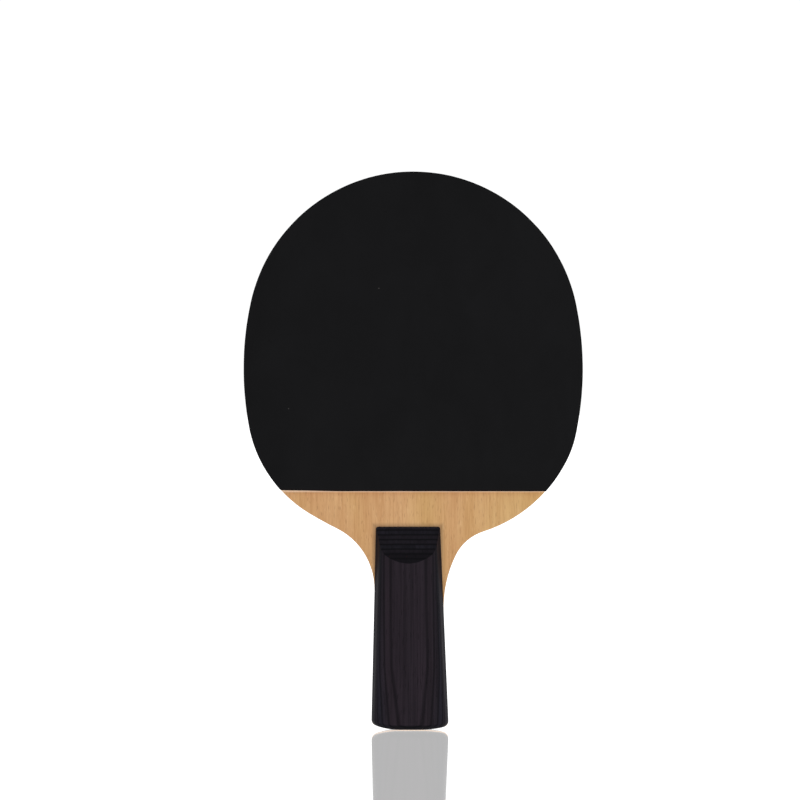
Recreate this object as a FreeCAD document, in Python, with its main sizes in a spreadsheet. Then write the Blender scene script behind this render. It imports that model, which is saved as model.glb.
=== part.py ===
"""A penhold table tennis paddle, as a parametric FreeCAD document, in millimetres.

The paddle stands upright: +Z runs from the butt of the handle to the tip of the head, +X to the
right of a viewer who faces the front rubber, and -Y towards that viewer. The origin is the middle
of the butt's flat end. From front to back the head is topsheet, sponge, five plies of wood, sponge
and topsheet. The plies run on down through the handle as its tang, and a block of eight dyed
veneers is glued on each side of the tang, crowned, and scooped down to the blade at its upper end.
"""

import FreeCAD
import Part
import math
import os

import Sketcher
from FreeCAD import Vector

DIMENSIONS = (
    # the head's outline, and the sheets on it
    ("total_length", 247.2, "butt to tip of the head"),
    ("head_width", 150.3, "widest part of the head"),
    ("head_offset", 1.4, "head's centre line to the right of the handle's"),
    ("widest_height", 159.7, "height of the widest part"),
    ("top_radius", 73.7, "arc over the top of the head"),
    ("sheet_edge_height", 105.5, "straight lower edge of the rubber"),
    # the head's lower left corner and shoulder, a long gentle S
    ("left_corner_radius", 57.3, "arc at the corner"),
    ("left_corner_height", 134.3, "where the side's arc turns into it"),
    ("left_shoulder_radius", 164.4, "outward curve below the corner"),
    ("left_shoulder_height", 95.6, "where it starts"),
    ("left_throat_height", 89.0, "where it turns into the hollow that runs into the handle"),
    # the same on the right, fuller and cut in deeper
    ("right_corner_radius", 50.8, "arc at the corner"),
    ("right_corner_height", 131.4, "where the side's arc turns into it"),
    ("right_shoulder_radius", 62.5, "outward curve below the corner"),
    ("right_shoulder_height", 117.8, "where it starts"),
    ("right_throat_radius", 20.6, "hollow between shoulder and neck"),
    ("right_throat_height", 87.6, "where the hollow starts"),
    ("right_neck_height", 77.0, "where it turns into the longer hollow that runs into the handle"),
    # the plies and sheets, through the thickness
    ("core_thickness", 2.6, "core ply"),
    ("cross_thickness", 1.1, "each cross ply"),
    ("face_thickness", 0.6, "each face ply"),
    ("sponge_thickness", 2.0, "each sponge"),
    ("topsheet_thickness", 1.7, "each topsheet, its pimples included"),
    # the handle
    ("handle_length", 89.7, "butt to the upper edge of the veneer blocks"),
    ("butt_width", 34.4, "handle's width at the butt, corners squared up"),
    ("grip_top_width", 28.5, "handle's width at its upper edge"),
    ("grip_lean", 0.9, "upper edge's middle to the left of the butt's"),
    ("butt_flat", 10.0, "width of the flat at the middle of the butt"),
    ("butt_left_radius", 35.0, "curve of the butt to the left of its flat"),
    ("butt_right_radius", 58.0, "flatter curve to the right of it"),
    ("butt_edge_radius", 2.8, "rounding of the butt's edge"),
    ("veneer_thickness", 0.95, "each dyed veneer"),
    ("block_rise", 7.6, "height of a block's crown above the blade"),
    ("butt_rise", 7.0, "the same at the butt, which the crown slopes down to"),
    ("slope_height", 28.0, "height above the butt where that slope starts"),
    ("crown_radius", 33.3, "curve across a block's crown"),
    ("flank_lean", 25.0, "degrees that a block's flanks lean in"),
    ("flank_radius", 5.0, "rounding between flank and crown"),
    ("scoop_slope", 24.6, "degrees from the blade to the scoop's floor"),
    ("scoop_step", 0.3, "height left at the block's upper edge"),
    ("grip_corner_radius", 0.9, "rounding of the two corners of the upper edge"),
)
VENEERS = 8  # in each block
CLEAR = 5.0  # how far a cutting shape runs past what it cuts
ON_FACE = 1e-4  # points nearer than this to a face's surface lie on it
FRONT, BACK = -1, 1  # the sign of Y on each face of the blade
LEFT, RIGHT = -1, 1  # the sign of X on each side of it

# expressions that several pieces share
HALF_BLADE = "(Dimensions.core_thickness / 2 + Dimensions.cross_thickness + Dimensions.face_thickness)"
SIDE_RADIUS = (
    "(Dimensions.top_radius ^ 2 - Dimensions.head_width ^ 2 / 4"
    " - (Dimensions.total_length - Dimensions.top_radius - Dimensions.widest_height) ^ 2)"
    " / (2 * Dimensions.top_radius - Dimensions.head_width)"
)
BUTT_RADIUS = {LEFT: "Dimensions.butt_left_radius", RIGHT: "Dimensions.butt_right_radius"}

doc = FreeCAD.newDocument("Paddle")
sheet = doc.addObject("Spreadsheet::Sheet", "Dimensions")
for row, (alias, size, meaning) in enumerate(DIMENSIONS, 1):
    sheet.set(f"A{row}", alias)
    sheet.set(f"B{row}", str(size))
    sheet.set(f"C{row}", meaning)
    sheet.setAlias(f"B{row}", alias)
doc.recompute()


def value(expression):
    """What an expression of the sheet's dimensions comes to now."""
    return float(FreeCAD.Units.Quantity(sheet.evalExpression(expression)).Value)


# --- sketches ---------------------------------------------------------------------------------


def new_sketch(body, label, plane, offset=None):
    """A sketch on one of the body's origin planes, or an offset along that plane's normal."""
    sketch = body.newObject("Sketcher::SketchObject", f"{body.Name}_{label}")
    origin_plane = next(part for part in body.Origin.OriginFeatures if part.Role == plane)
    sketch.AttachmentSupport = [(origin_plane, "")]
    sketch.MapMode = "FlatFace"
    if offset:
        sketch.setExpression("AttachmentOffset.Base.z", offset)
    return sketch


def add_line(sketch, start, end):
    return sketch.addGeometry(Part.LineSegment(start, end), False)


def add_arc(sketch, centre, start, end):
    """An arc from start to end, the short way round its centre."""
    first, last = (math.atan2(p.y - centre.y, p.x - centre.x) for p in (start, end))
    if (last - first) % math.tau > math.pi:
        first, last = last, first
    circle = Part.Circle(centre, Vector(0, 0, 1), start.distanceToPoint(centre))
    return sketch.addGeometry(Part.ArcOfCircle(circle, first, first + (last - first) % math.tau), False)


def end_at(sketch, curve, point):
    """Which end of a curve, 1 or 2, is at the point."""
    return min((1, 2), key=lambda end: sketch.getPoint(curve, end).distanceToPoint(point))


def join(sketch, first, second, point, smooth=True):
    """Joins the ends of two curves at a point, tangent to each other or at a corner."""
    ends = (first, end_at(sketch, first, point), second, end_at(sketch, second, point))
    sketch.addConstraint(Sketcher.Constraint("Tangent" if smooth else "Coincident", *ends))


def bind(sketch, kind, references, expression):
    """Adds a dimension to the sketch, which follows an expression of the sheet's."""
    now = math.radians(value(expression)) if kind == "Angle" else value(expression)
    index = sketch.addConstraint(Sketcher.Constraint(kind, *references, now))
    sketch.setExpression(f"Constraints[{index}]", expression)


def fix(sketch, curve, end, across=None, up=None):
    """Dimensions a curve's end, or its centre as end 3, from the sketch's origin."""
    if across:
        bind(sketch, "DistanceX", (-1, 1, curve, end), across)
    if up:
        bind(sketch, "DistanceY", (-1, 1, curve, end), up)


# --- the blade's outline ----------------------------------------------------------------------

FULL, HOLLOW = 1, -1
# the arcs down each side of the head: radius, sense, and the height where each turns into the next
SIDE_ARCS = {
    LEFT: (
        (SIDE_RADIUS, FULL, "Dimensions.left_corner_height"),
        ("Dimensions.left_corner_radius", FULL, "Dimensions.left_shoulder_height"),
        ("Dimensions.left_shoulder_radius", FULL, "Dimensions.left_throat_height"),
    ),
    RIGHT: (
        (SIDE_RADIUS, FULL, "Dimensions.right_corner_height"),
        ("Dimensions.right_corner_radius", FULL, "Dimensions.right_shoulder_height"),
        ("Dimensions.right_shoulder_radius", FULL, "Dimensions.right_throat_height"),
        ("Dimensions.right_throat_radius", HOLLOW, "Dimensions.right_neck_height"),
    ),
}


def edge_angle(side):
    """The direction of the handle's edge on one side, going up."""
    taper = "(Dimensions.butt_width - Dimensions.grip_top_width) / 2"
    return f"90 deg + {side} * atan(({taper} + {side} * Dimensions.grip_lean) / Dimensions.handle_length)"


def draw_side(sketch, side):
    """One side of the blade, as tangent arcs down from the top arc and a straight handle edge.

    A hollow arc's radius is negative here, so that centre - point is always radius * inward. The
    last hollow has no radius of its own: it is the one that touches the handle's straight edge.
    Returns the side arc, the point where it touches the top arc, and the edge.
    """
    centre = Vector(value(f"Dimensions.head_offset + {side} * (Dimensions.head_width / 2 - {SIDE_RADIUS})"))
    centre.y = value("Dimensions.widest_height")
    top = Vector(value("Dimensions.head_offset"), value("Dimensions.total_length - Dimensions.top_radius"))
    inward = (centre - top).normalize()
    start = summit = centre - inward * value(SIDE_RADIUS)
    curves = []
    for radius_expression, sense, end_height in SIDE_ARCS[side]:
        radius = sense * value(radius_expression)
        centre = start + inward * radius
        height = value(end_height)
        reach = math.sqrt(radius**2 - (height - centre.y) ** 2)
        end = Vector(centre.x + side * math.copysign(reach, radius), height)
        curves.append((add_arc(sketch, centre, start, end), start))
        bind(sketch, "Radius", (curves[-1][0],), radius_expression)
        fix(sketch, curves[-1][0], end_at(sketch, curves[-1][0], end), up=end_height)
        start, inward = end, (centre - end) / radius
    fix(sketch, curves[0][0], 3, up="Dimensions.widest_height")

    corner = Vector(side * value("Dimensions.butt_width") / 2, 0)
    angle = math.radians(value(edge_angle(side)))
    outward = Vector(math.sin(angle), -math.cos(angle)) * side
    radius = -(start - corner).dot(outward) / (1 + inward.dot(outward))
    centre = start + inward * radius
    touch = centre + outward * radius
    curves.append((add_arc(sketch, centre, start, touch), start))
    curves.append((add_line(sketch, corner, touch), touch))
    bind(sketch, "Angle", (curves[-1][0],), edge_angle(side))
    for (upper, _), (lower, point) in zip(curves, curves[1:]):
        join(sketch, upper, lower, point)
    return curves[0][0], summit, curves[-1][0]


def draw_outline(sketch):
    """The whole blade, with its butt still square."""
    left_arc, left_summit, left_edge = draw_side(sketch, LEFT)
    right_arc, right_summit, right_edge = draw_side(sketch, RIGHT)
    top = Vector(value("Dimensions.head_offset"), value("Dimensions.total_length - Dimensions.top_radius"))
    top_arc = add_arc(sketch, top, left_summit, right_summit)
    bind(sketch, "Radius", (top_arc,), "Dimensions.top_radius")
    fix(sketch, top_arc, 3, "Dimensions.head_offset", "Dimensions.total_length - Dimensions.top_radius")
    join(sketch, left_arc, top_arc, left_summit)
    join(sketch, right_arc, top_arc, right_summit)
    half_butt = Vector(value("Dimensions.butt_width / 2"))
    butt = add_line(sketch, -half_butt, half_butt)
    fix(sketch, butt, 1, "-Dimensions.butt_width / 2", "0")
    fix(sketch, butt, 2, "Dimensions.butt_width / 2", "0")
    join(sketch, left_edge, butt, -half_butt, smooth=False)
    join(sketch, right_edge, butt, half_butt, smooth=False)


# --- features ---------------------------------------------------------------------------------


def draw_polygon(sketch, points):
    """Closed straight sides through points given as pairs of expressions."""
    places = [Vector(value(across), value(up)) for across, up in points]
    sides = [add_line(sketch, *ends) for ends in zip(places, places[1:] + places[:1])]
    for side, following, place in zip(sides, sides[1:] + sides[:1], places[1:] + places[:1]):
        join(sketch, side, following, place, smooth=False)
    for side, (across, up) in zip(sides, points):
        fix(sketch, side, 1, across, up)


def pocket_through(body, sketch):
    """Cuts the sketch's shape right through the body, both ways from the sketch."""
    doc.recompute()
    before = body.Shape.Volume
    pocket = body.newObject("PartDesign::Pocket", f"{sketch.Name}_cut")
    pocket.Profile = sketch
    pocket.SideType = "Symmetric"
    pocket.Type = "ThroughAll"
    doc.recompute()
    if not body.Shape.Volume < before:
        raise RuntimeError(f"{pocket.Label} cuts nothing")


def round_edges(body, label, radius, wanted):
    """Rounds every edge of the body for which wanted(edge) is true."""
    solid = body.Tip
    names = [f"Edge{number}" for number, edge in enumerate(solid.Shape.Edges, 1) if wanted(edge)]
    fillet = body.newObject("PartDesign::Fillet", f"{body.Name}_{label}")
    fillet.Base = (solid, names)
    fillet.setExpression("Radius", radius)
    doc.recompute()


def middle(edge):
    return edge.valueAt((edge.FirstParameter + edge.LastParameter) / 2)


def runs_through(edge):
    """Whether an edge is straight and runs through the thickness."""
    along = edge.tangentAt(edge.FirstParameter)
    return isinstance(edge.Curve, Part.Line) and abs(along.y) > 1 - ON_FACE


def shape_butt(body):
    """Curves the butt's end: a flat in the middle and an arc to each side of it."""
    sketch = new_sketch(body, "butt_curve", "XZ_Plane")
    flat_half = value("Dimensions.butt_flat / 2")
    reach = value("Dimensions.butt_width / 2") + CLEAR
    flat = add_line(sketch, Vector(-flat_half), Vector(flat_half))
    fix(sketch, flat, 1, "-Dimensions.butt_flat / 2", "0")
    fix(sketch, flat, 2, "Dimensions.butt_flat / 2", "0")
    base = add_line(sketch, Vector(-reach, -CLEAR), Vector(reach, -CLEAR))
    for side, end in ((LEFT, 1), (RIGHT, 2)):
        radius = value(BUTT_RADIUS[side])
        height = radius - math.sqrt(radius**2 - (reach - flat_half) ** 2)
        foot, tip = Vector(side * reach, -CLEAR), Vector(side * reach, height)
        start = Vector(side * flat_half)
        arc = add_arc(sketch, Vector(side * flat_half, radius), start, tip)
        riser = add_line(sketch, foot, tip)
        bind(sketch, "Radius", (arc,), BUTT_RADIUS[side])
        fix(sketch, base, end, f"{side} * (Dimensions.butt_width / 2 + {CLEAR})", f"-{CLEAR}")
        sketch.addConstraint(Sketcher.Constraint("Vertical", riser))
        join(sketch, flat, arc, start)
        join(sketch, arc, riser, tip, smooth=False)
        join(sketch, riser, base, foot, smooth=False)
    pocket_through(body, sketch)


# --- the plies and the sheets -----------------------------------------------------------------


def pad_outline(name, thickness, back_face):
    """A layer with the blade's outline, whose back face is at the given Y."""
    body = doc.addObject("PartDesign::Body", name)
    sketch = new_sketch(body, "outline", "XZ_Plane", offset=f"-({back_face})")
    draw_outline(sketch)
    pad = body.newObject("PartDesign::Pad", f"{name}_pad")
    pad.Profile = sketch
    pad.setExpression("Length", f"Dimensions.{thickness}")
    doc.recompute()
    return body


def make_ply(name, thickness, back_face):
    """A ply of the blade. Its lower end is the handle's tang, with the butt's two round corners."""
    body = pad_outline(name, thickness, back_face)
    shape_butt(body)
    half_flat = value("Dimensions.butt_flat / 2") + ON_FACE
    low = value("Dimensions.butt_width / 2")
    round_edges(
        body,
        "corners",
        "Dimensions.butt_edge_radius",
        lambda edge: runs_through(edge) and abs(middle(edge).x) > half_flat and middle(edge).z < low,
    )
    return body


def make_sheet(name, thickness, back_face):
    """A sheet on the head, trimmed to the blade's outline and cut straight across its lower edge."""
    body = pad_outline(name, thickness, back_face)
    sketch = new_sketch(body, "lower_edge", "XZ_Plane")
    left, right = "-Dimensions.head_width", "Dimensions.head_width"
    low, high = f"-{CLEAR}", "Dimensions.sheet_edge_height"
    draw_polygon(sketch, ((left, low), (right, low), (right, high), (left, high)))
    pocket_through(body, sketch)
    return body


def make_blade():
    """Five plies, with the sponge and the topsheet on each face."""
    core, cross = "Dimensions.core_thickness / 2", "Dimensions.cross_thickness"
    sponge, topsheet = "Dimensions.sponge_thickness", "Dimensions.topsheet_thickness"
    return [
        make_ply("blade_core_ply", "core_thickness", core),
        make_ply("blade_cross_ply_front", "cross_thickness", f"-{core}"),
        make_ply("blade_face_ply_front", "face_thickness", f"-{core} - {cross}"),
        make_ply("blade_cross_ply_back", "cross_thickness", f"{core} + {cross}"),
        make_ply("blade_face_ply_back", "face_thickness", HALF_BLADE),
        make_sheet("sponge_front", "sponge_thickness", f"-{HALF_BLADE}"),
        make_sheet("topsheet_front", "topsheet_thickness", f"-{HALF_BLADE} - {sponge}"),
        make_sheet("sponge_back", "sponge_thickness", f"{HALF_BLADE} + {sponge}"),
        make_sheet("topsheet_back", "topsheet_thickness", f"{HALF_BLADE} + {sponge} + {topsheet}"),
    ]


# --- the handle -------------------------------------------------------------------------------


def way_out(start, direction, centre, radius):
    """How far from start, in a direction, a line comes out of a circle."""
    offset = start - centre
    along = offset.dot(direction)
    return math.sqrt(along**2 - offset.dot(offset) + radius**2) - along


def draw_section(sketch, width, middle_x, rise):
    """The handle across: straight at the tang, with leaning flanks and a rounded crown on each face."""
    half, lean = value(f"{width} / 2"), math.radians(value("Dimensions.flank_lean"))
    crown_radius, flank_radius = value("Dimensions.crown_radius"), value("Dimensions.flank_radius")
    walls = {}
    for side in (LEFT, RIGHT):
        foot = Vector(value(middle_x) + side * half, value(HALF_BLADE))
        walls[side] = add_line(sketch, Vector(foot.x, -foot.y), foot)
        fix(sketch, walls[side], 1, f"{middle_x} + {side} * {width} / 2", f"-{HALF_BLADE}")
        fix(sketch, walls[side], 2, f"{middle_x} + {side} * {width} / 2", HALF_BLADE)
    for face in (FRONT, BACK):
        crown_top = f"{face} * ({HALF_BLADE} + {rise} - Dimensions.crown_radius)"
        centre = Vector(value(middle_x), value(crown_top))
        rounds = {}
        for side in (LEFT, RIGHT):
            foot = Vector(value(middle_x) + side * half, face * value(HALF_BLADE))
            up = Vector(-side * math.sin(lean), face * math.cos(lean))
            inward = Vector(-side * math.cos(lean), -face * math.sin(lean))
            start = foot + inward * flank_radius
            height = way_out(start, up, centre, crown_radius - flank_radius)
            round_centre = start + up * height
            shoulder = centre + (round_centre - centre).normalize() * crown_radius
            flank = add_line(sketch, foot, foot + up * height)
            rounds[side] = (add_arc(sketch, round_centre, foot + up * height, shoulder), shoulder)
            join(sketch, walls[side], flank, foot, smooth=False)
            join(sketch, flank, rounds[side][0], foot + up * height)
            bind(sketch, "Angle", (flank,), f"{face} * (90 deg + {side} * Dimensions.flank_lean * 1 deg)")
            bind(sketch, "Radius", (rounds[side][0],), "Dimensions.flank_radius")
        crown = add_arc(sketch, centre, rounds[LEFT][1], rounds[RIGHT][1])
        bind(sketch, "Radius", (crown,), "Dimensions.crown_radius")
        fix(sketch, crown, 3, middle_x, crown_top)
        for arc, shoulder in rounds.values():
            join(sketch, arc, crown, shoulder)


def scoop(body, face):
    """The sloping cut from the crown down to the blade, at the block's upper end."""
    sketch = new_sketch(body, f"scoop_{'front' if face == FRONT else 'back'}", "YZ_Plane")
    slope = "tan(Dimensions.scoop_slope * 1 deg)"
    high = f"Dimensions.handle_length + Dimensions.scoop_step / {slope}"
    low = f"{high} - (Dimensions.block_rise + {CLEAR}) / {slope}"
    blade, clear = f"{face} * {HALF_BLADE}", f"{face} * ({HALF_BLADE} + Dimensions.block_rise + {CLEAR})"
    draw_polygon(sketch, ((blade, high), (clear, low), (clear, high)))
    pocket_through(body, sketch)


def on_butt(edge):
    """Whether an edge bounds the butt's end, and isn't one between its flat and its curves."""
    flat_half = value("Dimensions.butt_flat / 2")
    points = [vertex.Point for vertex in edge.Vertexes] + [middle(edge)]
    if runs_through(edge) and abs(points[0].x) < flat_half + ON_FACE:
        return False
    for point in points:
        radius = value(BUTT_RADIUS[LEFT if point.x < 0 else RIGHT])
        reach = max(0, abs(point.x) - flat_half)
        if reach >= radius or abs(point.z - radius + math.sqrt(radius**2 - reach**2)) > ON_FACE:
            return False
    return True


def make_handle_form():
    """The outer shape of the whole handle, which the veneers are sliced from. Not a piece itself."""
    body = doc.addObject("PartDesign::Body", "handle_form")
    sections = []
    for name, height, rise in (
        ("butt", "0", "Dimensions.butt_rise"),
        ("slope", "Dimensions.slope_height", "Dimensions.block_rise"),
        ("top", "Dimensions.handle_length", "Dimensions.block_rise"),
    ):
        part_way = f"({height} / Dimensions.handle_length)"
        narrowing = f"(Dimensions.butt_width - Dimensions.grip_top_width) * {part_way}"
        width = f"(Dimensions.butt_width - {narrowing})"
        sections.append(new_sketch(body, f"{name}_section", "XY_Plane", offset=height))
        draw_section(sections[-1], width, f"(-Dimensions.grip_lean * {part_way})", rise)
    loft = body.newObject("PartDesign::AdditiveLoft", "handle_loft")
    loft.Profile = sections[0]
    loft.Sections = [(section, [""]) for section in sections[1:]]
    loft.Ruled = True
    doc.recompute()

    top = value("Dimensions.handle_length") - ON_FACE
    round_edges(
        body,
        "top_edge",
        "Dimensions.grip_corner_radius",
        lambda edge: all(vertex.Z > top for vertex in edge.Vertexes),
    )
    shape_butt(body)
    for face in (FRONT, BACK):
        scoop(body, face)
    round_edges(body, "butt_edge", "Dimensions.butt_edge_radius", on_butt)
    return body


def make_veneers(form):
    """Slices the handle's form into eight veneers on each face of the blade."""
    veneers = []
    for face, name in ((FRONT, "front"), (BACK, "back")):
        for number in range(1, VENEERS + 1):
            slab = doc.addObject("Part::Box", f"veneer_slab_{name}_{number}")
            layer = number if face == FRONT else number - 1
            near = f"{face} * ({HALF_BLADE} + {layer} * Dimensions.veneer_thickness)"
            slab.setExpression("Length", f"Dimensions.butt_width + 2 * {CLEAR}")
            slab.setExpression("Width", "Dimensions.veneer_thickness")
            slab.setExpression("Height", f"Dimensions.handle_length + 2 * {CLEAR}")
            slab.setExpression("Placement.Base.x", f"-Dimensions.butt_width / 2 - {CLEAR}")
            slab.setExpression("Placement.Base.y", near)
            slab.setExpression("Placement.Base.z", f"-{CLEAR}")
            veneer = doc.addObject("Part::Common", f"handle_veneer_{name}_{number}")
            veneer.Base = form
            veneer.Tool = slab
            veneers.append(veneer)
    doc.recompute()
    return veneers


def check(pieces):
    """Stops the script if anything in the document failed, or a piece isn't one sound solid."""
    for item in doc.Objects:
        if {"Invalid", "Error"} & set(item.State):
            raise RuntimeError(f"{item.Label}: {item.State}")
        if item.isDerivedFrom("Sketcher::SketchObject") and item.solve() != 0:
            raise RuntimeError(f"{item.Label} can't be solved")
    for piece in pieces:
        if piece.Shape.isNull() or not piece.Shape.isValid() or len(piece.Shape.Solids) != 1:
            raise RuntimeError(f"{piece.Label} is not one valid solid")


pieces = make_blade() + make_veneers(make_handle_form())
doc.recompute()
check(pieces)
os.makedirs("parts", exist_ok=True)
for piece in pieces:
    piece.Shape.exportStep(f"parts/{piece.Label}.step")
    print(f"{piece.Label}: {piece.Shape.Volume:.0f} mm3")
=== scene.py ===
"""The looks of a penhold table tennis paddle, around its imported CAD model, in metres.

The wooden plies and the handle's veneers are the CAD nodes, with wood materials. Each face's
topsheet and sponge are modelled here: a moulded sheet on its field of pimples, trimmed by knife to
the blade, and a foam sheet with a cut edge. The paddle stands on a glossy white table.
"""

import math

import bmesh
import bpy
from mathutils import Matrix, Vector, noise


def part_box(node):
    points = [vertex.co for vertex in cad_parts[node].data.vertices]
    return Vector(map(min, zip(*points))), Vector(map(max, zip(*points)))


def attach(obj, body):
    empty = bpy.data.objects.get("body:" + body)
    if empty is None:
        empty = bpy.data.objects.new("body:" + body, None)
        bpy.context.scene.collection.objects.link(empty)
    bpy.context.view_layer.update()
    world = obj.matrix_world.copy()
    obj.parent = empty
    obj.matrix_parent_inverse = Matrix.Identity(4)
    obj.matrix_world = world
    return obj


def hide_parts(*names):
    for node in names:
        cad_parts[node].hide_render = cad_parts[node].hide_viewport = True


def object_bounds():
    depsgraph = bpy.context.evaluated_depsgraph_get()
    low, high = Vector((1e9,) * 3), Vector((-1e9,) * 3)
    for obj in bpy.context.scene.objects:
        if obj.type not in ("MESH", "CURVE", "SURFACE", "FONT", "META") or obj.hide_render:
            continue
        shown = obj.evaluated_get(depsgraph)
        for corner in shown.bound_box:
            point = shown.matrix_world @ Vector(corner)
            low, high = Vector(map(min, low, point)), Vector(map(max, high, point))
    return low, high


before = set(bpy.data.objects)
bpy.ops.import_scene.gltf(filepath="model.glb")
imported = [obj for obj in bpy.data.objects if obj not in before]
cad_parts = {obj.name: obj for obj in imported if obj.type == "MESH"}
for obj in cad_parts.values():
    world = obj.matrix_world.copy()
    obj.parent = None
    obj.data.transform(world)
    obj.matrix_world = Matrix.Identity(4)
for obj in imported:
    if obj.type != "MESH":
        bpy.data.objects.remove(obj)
cad_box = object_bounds()

MM = 0.001
FRONT, BACK = -1, 1  # the sign of Y on each face of the blade
FACES = {"front": FRONT, "back": BACK}

BLADE_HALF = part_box("blade_face_ply_back")[1].y
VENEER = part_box("handle_veneer_back_1")[1].y - BLADE_HALF

# the topsheet: a moulded sheet that carries pimples on its inner side, and meets the sponge with them
SHEET_THICKNESS = 0.9 * MM
LIP_HEIGHT = 0.22 * MM  # of the rounding along the trimmed edge
LIP_WIDTH = 0.9 * LIP_HEIGHT
LIP_STEPS = 4
WALL_LEAN = 0.02 * MM  # of the cut below the lip
PIMPLE_RADIUS = 0.82 * MM  # at the tip
PIMPLE_ROOT_RADIUS = 1.12 * PIMPLE_RADIUS
PIMPLE_ROOT_DEPTH = 0.02 * MM  # how deep its root is sunk in the sheet
PIMPLE_MARGIN = 1.25 * PIMPLE_RADIUS  # between its middle and the sheet's edge
PIMPLE_PITCH = 2.3 * MM
PIMPLE_SIDES = 10
FIRST_ROW = 0.4  # height of the lowest row of pimples over the sheet's lower edge, in rows

SPONGE_HOLLOW = 0.10 * MM  # of its cut edge, half way through
SPONGE_STEPS = 6

OUTLINE_STEP = 1.0 * MM
FLAT = 0.01 * MM  # what counts as level
SHARP_ANGLE = math.radians(35)

# the knife that trimmed the sheets
CUT_WANDER = 0.06 * MM  # how far it strays from the blade's edge
SLOW_WAVES, QUICK_WAVES = 90, 700  # of its wander, per metre
SLIP = 0.48 * MM  # how far it rose at the left end of the front rubber's straight edge
SLIP_LENGTH = 27 * MM

BLOCK_SHADOW_WIDTH = 2.3 * MM  # of the painted shadow that darkens the wood beside the handle's blocks
BLOCK_SHADOW_STRENGTH = 0.43
EDGE_LIGHT_WIDTH = 0.75 * MM  # of the pale line of painted light below the rubber's straight edge, which lifts the shade there
EDGE_LIGHT_STRENGTH = 0.65

FLOOR_HALF = 30  # half the table top's side, in metres
GLASS_THICKNESS = 0.45 * MM  # of the table top, over its mirror
MIRROR_SHARE = 0.56
MIRROR_GLOW = 0.455
MIRROR_ROUGHNESS = 0.06

TENT_DIM, TENT_BRIGHT = 0.28, 1.05  # the tent's light on the paddle, from most sides and from behind
TENT_TURN = 0.70, 0.90  # the Y of the directions between which it brightens

# each light's place from the paddle's middle, its width and height, and its power
SOFTBOXES = {
    "right_softbox": ((0.75, -1.2, 0.3), (0.9, 1.1), 7.0),
    "left_softbox": ((-0.75, -1.2, 0.3), (0.9, 1.1), 2.4),
    "low_softbox": ((0.15, -0.95, -0.9), (1.0, 0.7), 8.5),
    "back_right_softbox": ((0.8, 1.1, 0.5), (0.9, 0.9), 7.0),
    "back_left_softbox": ((-0.8, 1.1, 0.5), (0.9, 0.9), 7.0),
}

LENS, SENSOR = 150, 36  # the camera's focal length and the width of its film
VIEW_WIDTH = 1.4324  # what the picture spans at the front rubber, in heights of the paddle
AIM_HEIGHT = 0.5905  # of the picture's middle, in heights of the paddle
AIM_X = -4.45 * MM


# --- materials --------------------------------------------------------------------------------


def srgb(red, green, blue):
    """A colour of display values from 0 to 255, as a linear one with alpha."""
    values = (red, green, blue)
    return (*(((v / 255 + 0.055) / 1.055) ** 2.4 if v > 10 else v / 255 / 12.92 for v in values), 1)


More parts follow.
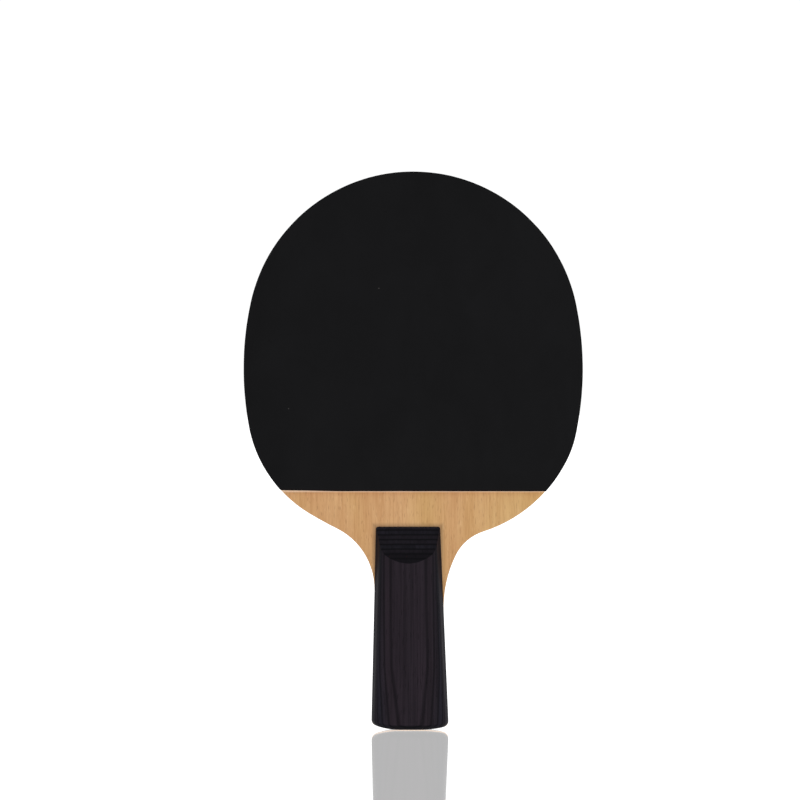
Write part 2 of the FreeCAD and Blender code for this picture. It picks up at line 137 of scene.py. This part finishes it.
class Look:
    """A material, built up from patterns in the object's own coordinates."""

    def __init__(self, name):
        self.material = bpy.data.materials.new(name)
        self.material.use_nodes = True
        self.tree = self.material.node_tree
        self.shader = self.tree.nodes["Principled BSDF"]
        self.place = self.add("ShaderNodeTexCoord").outputs["Object"]

    def add(self, kind, inputs=(), **settings):
        """A node with its settings, and its inputs given as (name or number, value or socket)."""
        node = self.tree.nodes.new(kind)
        for name, setting in settings.items():
            setattr(node, name, setting)
        for name, source in inputs:
            if isinstance(source, bpy.types.NodeSocket):
                self.tree.links.new(source, node.inputs[name])
            else:
                node.inputs[name].default_value = source
        return node

    def scaled(self, per_metre):
        """The place, with each axis in features per metre."""
        inputs = ((0, self.place), (1, per_metre))
        return self.add("ShaderNodeVectorMath", inputs, operation="MULTIPLY").outputs[0]

    def shift(self, offset):
        """Moves the patterns that are added from now on."""
        inputs = ((0, self.place), (1, offset))
        self.place = self.add("ShaderNodeVectorMath", inputs, operation="ADD").outputs[0]

    def noise(self, per_metre, detail=2.0, roughness=0.5, distortion=0.0):
        """Smooth noise of about 0.5, whose size on each axis is in features per metre."""
        inputs = (
            ("Vector", self.scaled(per_metre)),
            ("Scale", 1.0),
            ("Detail", detail),
            ("Roughness", roughness),
            ("Distortion", distortion),
        )
        return self.add("ShaderNodeTexNoise", inputs).outputs["Fac"]

    def cells(self, per_metre):
        """Random cells, with the distance from the nearest one's middle and a colour for each."""
        inputs = (("Vector", self.scaled(per_metre)), ("Scale", 1.0))
        return self.add("ShaderNodeTexVoronoi", inputs)

    def math(self, operation, first, second=0.0):
        """The result of a sum on sockets or numbers."""
        return self.add("ShaderNodeMath", ((0, first), (1, second)), operation=operation).outputs[0]

    def rise(self, source, low, high, start=0.0, end=1.0):
        """A smooth step from start to end as the source goes from low to high."""
        inputs = ((0, source), (1, low), (2, high), (3, start), (4, end))
        return self.add("ShaderNodeMapRange", inputs, interpolation_type="SMOOTHSTEP").outputs[0]

    def mix(self, share, first, second, blend="MIX"):
        """The first colour, with a share of the second one."""
        inputs = ((0, share), (6, first), (7, second))
        return self.add("ShaderNodeMix", inputs, data_type="RGBA", blend_type=blend).outputs[2]

    def axis(self, letter):
        """The place's coordinate on an axis, in metres."""
        return self.add("ShaderNodeSeparateXYZ", ((0, self.place),)).outputs[letter]

    def facing(self, letter):
        """How squarely a surface faces along an axis, either way: from 0 to 1."""
        normal = self.add("ShaderNodeTexCoord").outputs["Normal"]
        split = self.add("ShaderNodeSeparateXYZ", ((0, normal),))
        return self.math("ABSOLUTE", split.outputs[letter])

    def bump(self, height, depth, strength=1.0, under=None):
        """Tilts the normal by a height pattern whose full range is depth, on top of another bump."""
        inputs = [("Height", height), ("Distance", depth), ("Strength", strength)]
        if under:
            inputs.append(("Normal", under))
        return self.add("ShaderNodeBump", inputs).outputs[0]

    def finish(self, colour, roughness, normal, specular):
        """The finished material, whose patterns are sockets and whose specular level is a number."""
        self.tree.links.new(colour, self.shader.inputs["Base Color"])
        self.tree.links.new(roughness, self.shader.inputs["Roughness"])
        self.tree.links.new(normal, self.shader.inputs["Normal"])
        self.shader.inputs["Specular IOR Level"].default_value = specular
        return self.material


def along(axis, across, length):
    """Features per metre for a grain whose streaks run along one axis of X, Y and Z."""
    return tuple(length if letter == axis else across for letter in "XYZ")


def painted_block_shadow(look):
    """A share of painted shadow that fades away from the handle block: its contact shadow on the wood."""
    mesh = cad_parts["handle_veneer_front_1"].data
    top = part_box("handle_veneer_front_1")[1].z
    ends = [v.co.x for v in mesh.vertices if v.co.z > top - 2 * MM]
    middle, half = (min(ends) + max(ends)) / 2, (max(ends) - min(ends)) / 2
    off_middle = look.math("ABSOLUTE", look.math("SUBTRACT", look.axis("X"), middle))
    beside = look.math("SUBTRACT", off_middle, half)
    above = look.math("SUBTRACT", look.axis("Z"), top)
    return look.rise(look.math("MAXIMUM", beside, above), 0.0, BLOCK_SHADOW_WIDTH, BLOCK_SHADOW_STRENGTH, 0.0)


def painted_edge_light(look):
    """A share of painted light that fades away below the rubber's straight edge: a pale line that lifts the
    shade there.
    """
    below = look.math("SUBTRACT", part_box("topsheet_front")[0].z, look.axis("Z"))
    on_face = look.rise(look.facing("Y"), 0.5, 0.9)
    return look.math("MULTIPLY", on_face, look.rise(below, 0.0, EDGE_LIGHT_WIDTH, EDGE_LIGHT_STRENGTH, 0.0))


def wood_look(name, light, dark, grain, offset, outside=False):
    """Pale sealed wood whose grain runs along an axis: bands, fine streaks and short open pores.

    The blade's outside has a pale line of painted light along the rubber's edge, and painted shadow round
    the handle's blocks.
    """
    look = Look(name)
    block_shadow, edge_light = (painted_block_shadow(look), painted_edge_light(look)) if outside else (0.0, 0.0)
    look.shift(offset)
    patches = look.noise(along(grain, 26, 6), detail=2, distortion=0.6)
    bands = look.noise(along(grain, 120, 7), detail=3, roughness=0.6, distortion=0.3)
    streaks = look.noise(along(grain, 1500, 75), detail=3, roughness=0.6)
    pores = look.noise(along(grain, 2400, 300), detail=1)
    ray_flecks = look.noise(along(grain, 700, 160), detail=2)
    colour = look.mix(look.rise(bands, 0.3, 0.7), light, dark)
    # some of it is a little pinker, and some a little yellower
    tint = look.mix(look.rise(patches, 0.36, 0.64), srgb(255, 246, 240), srgb(255, 255, 236))
    colour = look.mix(1.0, colour, tint, "MULTIPLY")
    darker = look.mix(1.0, colour, dark, "MULTIPLY")
    colour = look.mix(look.rise(streaks, 0.36, 0.68, 0.0, 0.24), colour, darker)
    pore_share = look.rise(pores, 0.6, 0.74)
    colour = look.mix(look.math("MULTIPLY", pore_share, 0.34), colour, srgb(130, 88, 50))
    colour = look.mix(look.rise(ray_flecks, 0.6, 0.76, 0.0, 0.22), colour, srgb(230, 194, 148))
    # painted shadow: the handle's blocks darken the wood beside them
    colour = look.mix(block_shadow, colour, srgb(52, 44, 38))
    # painted light: a pale line that lifts the shade below the rubber's straight edge
    colour = look.mix(edge_light, colour, srgb(234, 220, 202))
    roughness = look.rise(streaks, 0.3, 0.7, 0.42, 0.56)
    normal = look.bump(streaks, 0.05 * MM, 0.35)
    normal = look.bump(look.math("SUBTRACT", 1.0, pore_share), 0.04 * MM, 0.5, normal)
    return look.finish(colour, roughness, normal, 0.3)


def dyed_veneer_look():
    """Eight veneers dyed nearly black: dark with soaked-in adhesive at both faces of each, a little paler
    between.
    """
    look = Look("dyed_veneer")
    wave = look.math("MULTIPLY", look.math("SUBTRACT", look.noise((110, 30, 26), detail=2), 0.5), 0.22)
    above_blade = look.math("SUBTRACT", look.math("ABSOLUTE", look.axis("Y")), BLADE_HALF)
    # in veneers, which were pressed together slightly wavy
    depth = look.math("ADD", look.math("DIVIDE", above_blade, VENEER), wave)
    layer = look.math("FLOOR", depth)
    within = look.math("SUBTRACT", depth, layer)
    from_middle = look.math("ABSOLUTE", look.math("SUBTRACT", within, 0.5))
    # the adhesive soaked in from both faces, but the outermost one was planed away
    soaked = look.math("MULTIPLY", look.rise(from_middle, 0.24, 0.46), look.rise(depth, 7.4, 7.7, 1.0, 0.0))
    # every veneer has its own grain and takes the dye a little differently
    tone = look.add("ShaderNodeTexWhiteNoise", (("W", layer),), noise_dimensions="1D").outputs["Value"]
    look.shift(look.add("ShaderNodeCombineXYZ", ((1, look.math("MULTIPLY", layer, 0.37)),)).outputs[0])
    streaks = look.noise((850, 300, 14), detail=4, roughness=0.6, distortion=0.3)
    bands = look.noise((160, 60, 5), detail=2, distortion=0.6)
    pores = look.noise((2700, 900, 170), detail=1)
    # the outer veneers are a purplish brown, and the inner ones a colder black
    outer = look.rise(depth, 4.6, 6.6)
    warm = look.mix(look.rise(bands, 0.3, 0.7), srgb(35, 30, 36), srgb(41, 34, 41))
    cold = look.mix(look.rise(bands, 0.3, 0.7), srgb(25, 24, 30), srgb(34, 32, 40))
    colour = look.mix(outer, cold, warm)
    colour = look.mix(look.rise(streaks, 0.38, 0.64, 0.0, 0.55), colour, srgb(13, 12, 16))
    colour = look.mix(look.math("MULTIPLY", tone, 0.3), colour, srgb(36, 29, 34))
    # where a cut crosses the grain, as in the scoop, the wood has drunk more dye; the same darkening is
    # also painted shade on the scoop, which faces up
    end_grain = look.rise(look.facing("Z"), 0.1, 0.42)
    dye_and_scoop_shade = look.math("MULTIPLY", end_grain, look.rise(depth, 4.8, 6.2, 0.3, 0.85))
    colour = look.mix(dye_and_scoop_shade, colour, srgb(8, 8, 12))
    lines = look.math("MULTIPLY", soaked, look.rise(end_grain, 0.0, 1.0, 0.6, 0.95))
    colour = look.mix(lines, colour, srgb(5, 5, 8))
    pore_share = look.rise(pores, 0.62, 0.74)
    colour = look.mix(look.math("MULTIPLY", pore_share, 0.6), colour, srgb(7, 7, 9))
    roughness = look.rise(streaks, 0.3, 0.7, 0.36, 0.5)
    normal = look.bump(streaks, 0.05 * MM, 0.3)
    normal = look.bump(look.math("SUBTRACT", 1.0, pore_share), 0.05 * MM, 0.5, normal)
    return look.finish(colour, roughness, normal, 0.05)


def rubber_look(name, colour, dust_colour, specular):
    """Smooth matt rubber: cloudy where it has been wiped, with a few specks of dust, and small pits with
    painted shade in them.
    """
    look = Look(name)
    clouds = look.noise((38, 38, 30), detail=4, roughness=0.6, distortion=0.8)
    wipes = look.noise((60, 60, 22), detail=3, distortion=0.8)
    skin = look.noise((5200, 5200, 5200), detail=2)
    shade = look.mix(look.rise(clouds, 0.3, 0.7, 0.0, 0.45), colour, dust_colour, "SCREEN")
    specks = look.cells((150, 1, 150))
    near = look.rise(specks.outputs["Distance"], 0.022, 0.05, 1.0, 0.0)
    pick = look.add("ShaderNodeSeparateColor", ((0, specks.outputs["Color"]),))
    dust = look.math("MULTIPLY", near, look.rise(pick.outputs[0], 0.90, 0.93))
    pit_and_shade = look.math("MULTIPLY", near, look.rise(pick.outputs[1], 0.93, 0.95))
    shade = look.mix(look.math("MULTIPLY", dust, 0.5), shade, srgb(120, 118, 114))
    # painted shade in the small pits
    shade = look.mix(look.math("MULTIPLY", pit_and_shade, 0.8), shade, srgb(4, 4, 5))
    roughness = look.rise(wipes, 0.3, 0.7, 0.56, 0.64)
    normal = look.bump(skin, 0.012 * MM, 0.4)
    normal = look.bump(pit_and_shade, -0.06 * MM, 0.6, normal)
    return look.finish(shade, roughness, normal, specular)


def sponge_look():
    """Foam whose cut cells show as small pits, with painted shade in them, between paler walls."""
    look = Look("sponge")
    cells = look.cells((3300, 3300, 3300)).outputs["Distance"]
    big = look.cells((1500, 1500, 1500)).outputs["Distance"]
    tone = look.noise((240, 240, 240), detail=3)
    colour = look.mix(look.rise(tone, 0.3, 0.7), srgb(236, 172, 78), srgb(226, 158, 64))
    wall = look.math("MULTIPLY", look.rise(cells, 0.15, 0.6), look.rise(big, 0.12, 0.45))
    # painted shade in the open cells between the walls
    colour = look.mix(look.rise(wall, 0.0, 1.0, 0.55, 0.0), colour, srgb(168, 98, 36))
    roughness = look.rise(wall, 0.0, 1.0, 0.95, 0.8)
    return look.finish(colour, roughness, look.bump(wall, 0.12 * MM, 0.8), 0.2)


# --- the sheets on each face ------------------------------------------------------------------


def rim_of(node):
    """The corners of a CAD sheet's outline in order, as (x, z), from its flat outer face."""
    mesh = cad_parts[node].data
    low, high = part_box(node)
    face_y = low.y if abs(low.y) > abs(high.y) else high.y
    uses = {}
    for polygon in mesh.polygons:
        places = [mesh.vertices[i].co for i in polygon.vertices]
        if all(abs(p.y - face_y) < FLAT for p in places):
            keys = [(round(p.x, 7), round(p.z, 7)) for p in places]
            for pair in zip(keys, keys[1:] + keys[:1]):
                uses.setdefault(frozenset(pair), []).append(pair)
    following = dict(pairs[0] for pairs in uses.values() if len(pairs) == 1)
    start = min(following)
    rim = [start]
    while following[rim[-1]] != start:
        rim.append(following[rim[-1]])
    return [Vector(point) for point in rim]


def smooth_outline(rim):
    """The outline again in short steps: a curve through the rim's points, and its straight lower edge.

    It starts at one end of the straight edge, runs round the head to the other, and goes back.
    """
    low = min(p.y for p in rim)
    ends = [i for i, p in enumerate(rim) if p.y < low + FLAT]
    first = next(i for i in ends if (i + 1) % len(rim) not in ends)
    curve = [rim[(first + i) % len(rim)] for i in range(len(rim) - len(ends) + 2)]
    extended = [2 * curve[0] - curve[1], *curve, 2 * curve[-1] - curve[-2]]
    outline = []
    for before, start, end, after in zip(extended, extended[1:], extended[2:], extended[3:]):
        steps = max(1, round((end - start).length / OUTLINE_STEP))
        for t in (step / steps for step in range(steps)):
            outline.append(
                0.5 * (2 * start + (end - before) * t + (2 * before - 5 * start + 4 * end - after) * t**2
                       + (3 * start - before - 3 * end + after) * t**3)
            )
    straight = curve[0] - curve[-1]
    steps = round(straight.length / OUTLINE_STEP)
    return outline + [curve[-1] + straight / steps * step for step in range(steps)]


def cut_with_slip(outline):
    """The outline, with its straight edge cut a little too high at the left end."""
    low = min(p.y for p in outline)
    start = min(p.x for p in outline if p.y < low + FLAT) + SLIP_LENGTH
    return [Vector((p.x, max(p.y, low + (start - p.x) * SLIP / SLIP_LENGTH))) for p in outline]


def inward_at(outline):
    """The inward direction at each of an outline's points."""
    area = sum(a.x * b.y - b.x * a.y for a, b in zip(outline, outline[1:] + outline[:1]))
    turn = math.copysign(1, area)
    count = len(outline)
    normals = []
    for i in range(count):
        ahead = (outline[(i + 1) % count] - outline[i - 1]).normalized()
        normals.append(Vector((-ahead.y, ahead.x)) * turn)
    return normals


def wander(point, seed, amount, per_metre):
    """A smooth random offset at a point, from -amount to amount."""
    return amount * noise.noise(Vector((point.x * per_metre, point.y * per_metre, seed)))


def cut_outline(outline, seed):
    """The outline as a knife leaves it, with slow wander and small nicks, never outside the blade."""
    trimmed = []
    for p, n in zip(outline, inward_at(outline)):
        slow = wander(p, seed, CUT_WANDER, SLOW_WAVES)
        quick = wander(p, seed + 7, CUT_WANDER / 4, QUICK_WAVES)
        trimmed.append(p + n * (CUT_WANDER + slow + quick))
    return trimmed


def ring_wall(mesh, outline, profile):
    """Rings of points at each (inset, y) of a profile, joined into walls and closed at both ends."""
    normals = inward_at(outline)
    rings = []
    for inset, y in profile:
        places = [(p.x + n.x * inset, y, p.y + n.y * inset) for p, n in zip(outline, normals)]
        rings.append([mesh.verts.new(place) for place in places])
    count = len(outline)
    for lower, upper in zip(rings, rings[1:]):
        for i in range(count):
            mesh.faces.new((lower[i], lower[(i + 1) % count], upper[(i + 1) % count], upper[i]))
    mesh.faces.new(rings[0])
    mesh.faces.new(rings[-1])


def inside(outline, point, margin):
    """Whether a point is inside the outline, and at least margin from it."""
    if min((point - p).length_squared for p in outline) < margin**2:
        return False
    crossings = 0
    for a, b in zip(outline, outline[1:] + outline[:1]):
        if (a.y > point.y) != (b.y > point.y):
            crossings += point.x < a.x + (b.x - a.x) * (point.y - a.y) / (b.y - a.y)
    return crossings % 2 == 1


def add_pimple(mesh, centre, base, tip):
    """A short, slightly tapered peg from the sheet's inner side to the sponge."""
    rings = []
    for y, radius in ((base, PIMPLE_ROOT_RADIUS), (tip, PIMPLE_RADIUS)):
        ring = []
        for i in range(PIMPLE_SIDES):
            angle = math.tau * i / PIMPLE_SIDES
            x, z = centre.x + radius * math.cos(angle), centre.y + radius * math.sin(angle)
            ring.append(mesh.verts.new((x, y, z)))
        rings.append(ring)
    for i in range(PIMPLE_SIDES):
        j = (i + 1) % PIMPLE_SIDES
        mesh.faces.new((rings[0][i], rings[0][j], rings[1][j], rings[1][i]))
    mesh.faces.new(rings[0])
    mesh.faces.new(rings[1])


def finish_piece(mesh, name, material, node):
    """Turns a bmesh into a piece, attached to the root, that is shown instead of a CAD node, which it
    hides.
    """
    bmesh.ops.recalc_face_normals(mesh, faces=mesh.faces)
    data = bpy.data.meshes.new(name)
    mesh.to_mesh(data)
    mesh.free()
    data.materials.append(material)
    piece = bpy.data.objects.new(name, data)
    bpy.context.scene.collection.objects.link(piece)
    data.shade_smooth()
    data.set_sharp_from_angle(angle=SHARP_ANGLE)
    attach(piece, "root")
    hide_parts(node)
    return piece


def make_topsheet(name, outline, material):
    """The moulded sheet with a soft trimmed edge, and the pimples under it."""
    node = f"topsheet_{name}"
    side = FACES[name]
    low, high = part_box(node)
    outer, inner = (low.y, high.y) if side == FRONT else (high.y, low.y)
    depth = -side  # the direction from the outer face inwards
    mesh = bmesh.new()
    trimmed = cut_outline(outline, seed=3 + side)
    profile = [(LIP_WIDTH, outer)]
    for i in range(1, LIP_STEPS + 1):
        angle = math.radians(90 * i / LIP_STEPS)
        inset = LIP_WIDTH * (1 - math.sin(angle))
        profile.append((inset, outer + depth * LIP_HEIGHT * (1 - math.cos(angle))))
    # the cut leans in a little on its way down, and out again at the sheet's inner side
    profile.append((WALL_LEAN, outer + depth * 0.6 * SHEET_THICKNESS))
    profile.append((0.0, outer + depth * SHEET_THICKNESS))
    ring_wall(mesh, trimmed, profile)
    low_z, high_z = min(p.y for p in trimmed), max(p.y for p in trimmed)
    low_x, high_x = min(p.x for p in trimmed), max(p.x for p in trimmed)
    row_height = PIMPLE_PITCH * math.sqrt(3) / 2
    for row in range(math.ceil((high_z - low_z) / row_height)):
        stagger = PIMPLE_PITCH / 2 * (row % 2)
        for column in range(math.ceil((high_x - low_x) / PIMPLE_PITCH)):
            x = low_x + stagger + column * PIMPLE_PITCH
            centre = Vector((x, low_z + (row + FIRST_ROW) * row_height))
            if inside(trimmed, centre, PIMPLE_MARGIN):
                add_pimple(mesh, centre, outer + depth * (SHEET_THICKNESS - PIMPLE_ROOT_DEPTH), inner)
    finish_piece(mesh, f"{name}_topsheet", material, node)


def make_sponge(name, outline, material):
    """The foam sheet, whose knife-cut edge is slightly wavy and hollow."""
    node = f"sponge_{name}"
    low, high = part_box(node)
    mesh = bmesh.new()
    trimmed = cut_outline(outline, seed=11 + FACES[name])
    profile = []
    for i in range(SPONGE_STEPS + 1):
        hollow = SPONGE_HOLLOW * math.sin(math.pi * i / SPONGE_STEPS)
        profile.append((hollow, low.y + (high.y - low.y) * i / SPONGE_STEPS))
    ring_wall(mesh, trimmed, profile)
    piece = finish_piece(mesh, f"{name}_sponge", material, node)


# --- the stage --------------------------------------------------------------------------------


def make_floor():
    """A wide, plain white table top: a glowing half mirror that blends into the tent around it.

    The mirror lies just below the paddle's butt, by the thickness of a glass top that isn't made.
    """
    mesh = bmesh.new()
    bmesh.ops.create_grid(mesh, x_segments=1, y_segments=1, size=FLOOR_HALF)
    data = bpy.data.meshes.new("table_top")
    mesh.to_mesh(data)
    mesh.free()
    floor = bpy.data.objects.new("table_top", data)
    floor.location.z = -GLASS_THICKNESS
    bpy.context.scene.collection.objects.link(floor)
    material = bpy.data.materials.new("glowing_mirror")
    material.use_nodes = True
    shader = material.node_tree.nodes["Principled BSDF"]
    shader.inputs["Base Color"].default_value = (MIRROR_SHARE, MIRROR_SHARE, MIRROR_SHARE, 1)
    shader.inputs["Metallic"].default_value = 1.0
    shader.inputs["Roughness"].default_value = MIRROR_ROUGHNESS
    shader.inputs["Emission Color"].default_value = (1, 1, 1, 1)
    shader.inputs["Emission Strength"].default_value = MIRROR_GLOW
    data.materials.append(material)
    floor.visible_shadow = False  # the low light shines up through it


def make_world():
    """A white tent, seen and mirrored as white all round, whose soft light comes mostly from behind.

    A ray that comes from a matt surface finds that soft light, and any other ray finds white.
    """
    world = bpy.data.worlds.new("studio")
    bpy.context.scene.world = world
    world.use_nodes = True
    tree = world.node_tree
    rays = tree.nodes.new("ShaderNodeLightPath")
    seen = tree.nodes.new("ShaderNodeMath")
    seen.operation = "SUBTRACT"
    seen.inputs[0].default_value = 1.0
    tree.links.new(rays.outputs["Diffuse Depth"], seen.inputs[1])
    place = tree.nodes.new("ShaderNodeTexCoord")
    split = tree.nodes.new("ShaderNodeSeparateXYZ")
    tree.links.new(place.outputs["Generated"], split.inputs[0])
    dim = tree.nodes.new("ShaderNodeMapRange")
    dim.interpolation_type = "SMOOTHSTEP"
    tree.links.new(split.outputs["Y"], dim.inputs[0])
    for number, setting in enumerate((*TENT_TURN, TENT_DIM, TENT_BRIGHT), start=1):
        dim.inputs[number].default_value = setting
    light = tree.nodes.new("ShaderNodeMath")
    light.operation = "MAXIMUM"
    tree.links.new(seen.outputs[0], light.inputs[0])
    tree.links.new(dim.outputs[0], light.inputs[1])
    tree.links.new(light.outputs[0], tree.nodes["Background"].inputs["Color"])


def add_softbox(name, place, target, size, power):
    """A large rectangular light that faces a target, and isn't itself seen or mirrored."""
    light = bpy.data.lights.new(name, "AREA")
    light.shape = "RECTANGLE"
    light.size, light.size_y = size
    light.energy = power
    lamp = bpy.data.objects.new(name, light)
    lamp.location = place
    lamp.rotation_euler = (target - place).to_track_quat("-Z", "Y").to_euler()
    lamp.visible_camera = False
    lamp.visible_glossy = False
    bpy.context.scene.collection.objects.link(lamp)


def make_camera(low, high):
    """Level, square on to the front rubber, from far enough away to flatten the view."""
    camera = bpy.data.cameras.new("camera")
    camera.lens = LENS
    camera.sensor_width = SENSOR
    height = high.z - low.z
    aim = Vector((AIM_X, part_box("topsheet_front")[0].y, low.z + AIM_HEIGHT * height))
    eye = bpy.data.objects.new("camera", camera)
    eye.location = aim - Vector((0, VIEW_WIDTH * height * LENS / SENSOR, 0))
    eye.rotation_euler = (math.radians(90), 0, 0)
    bpy.context.scene.collection.objects.link(eye)
    bpy.context.scene.camera = eye


# --- the object -------------------------------------------------------------------------------


def dress(node, material):
    """Gives a CAD node its only material."""
    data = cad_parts[node].data
    data.materials.clear()
    data.materials.append(material)


pale, tan = srgb(202, 165, 121), srgb(193, 153, 107)
dress("blade_face_ply_front", wood_look("face_veneer_front", pale, tan, "Z", (0, 0, 0), outside=True))
dress("blade_face_ply_back", wood_look("face_veneer_back", pale, tan, "Z", (0.31, 0, 0.2), outside=True))
cross = wood_look("cross_ply", srgb(166, 120, 78), srgb(146, 102, 64), "X", (0.1, 0.4, 0))
dress("blade_cross_ply_front", cross)
dress("blade_cross_ply_back", cross)
dress("blade_core_ply", wood_look("core_wood", srgb(224, 192, 148), srgb(208, 172, 126), "Z", (0, 0.7, 0)))

dyed = dyed_veneer_look()
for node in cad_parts:
    if node.startswith("handle_veneer"):
        dress(node, dyed)

outline = smooth_outline(rim_of("topsheet_front"))
foam = sponge_look()
black = rubber_look("black_rubber", srgb(16, 16, 17), srgb(7, 7, 8), 0.05)
red = rubber_look("red_rubber", srgb(178, 22, 24), srgb(40, 8, 8), 0.15)
make_topsheet("front", cut_with_slip(outline), black)
make_topsheet("back", outline, red)
make_sponge("front", cut_with_slip(outline), foam)
make_sponge("back", outline, foam)

low, high = cad_box
middle = (low + high) / 2
make_floor()
make_world()
for name, (offset, size, power) in SOFTBOXES.items():
    add_softbox(name, middle + Vector(offset), middle, size, power)
make_camera(low, high)
bpy.context.scene.view_settings.view_transform = "Standard"
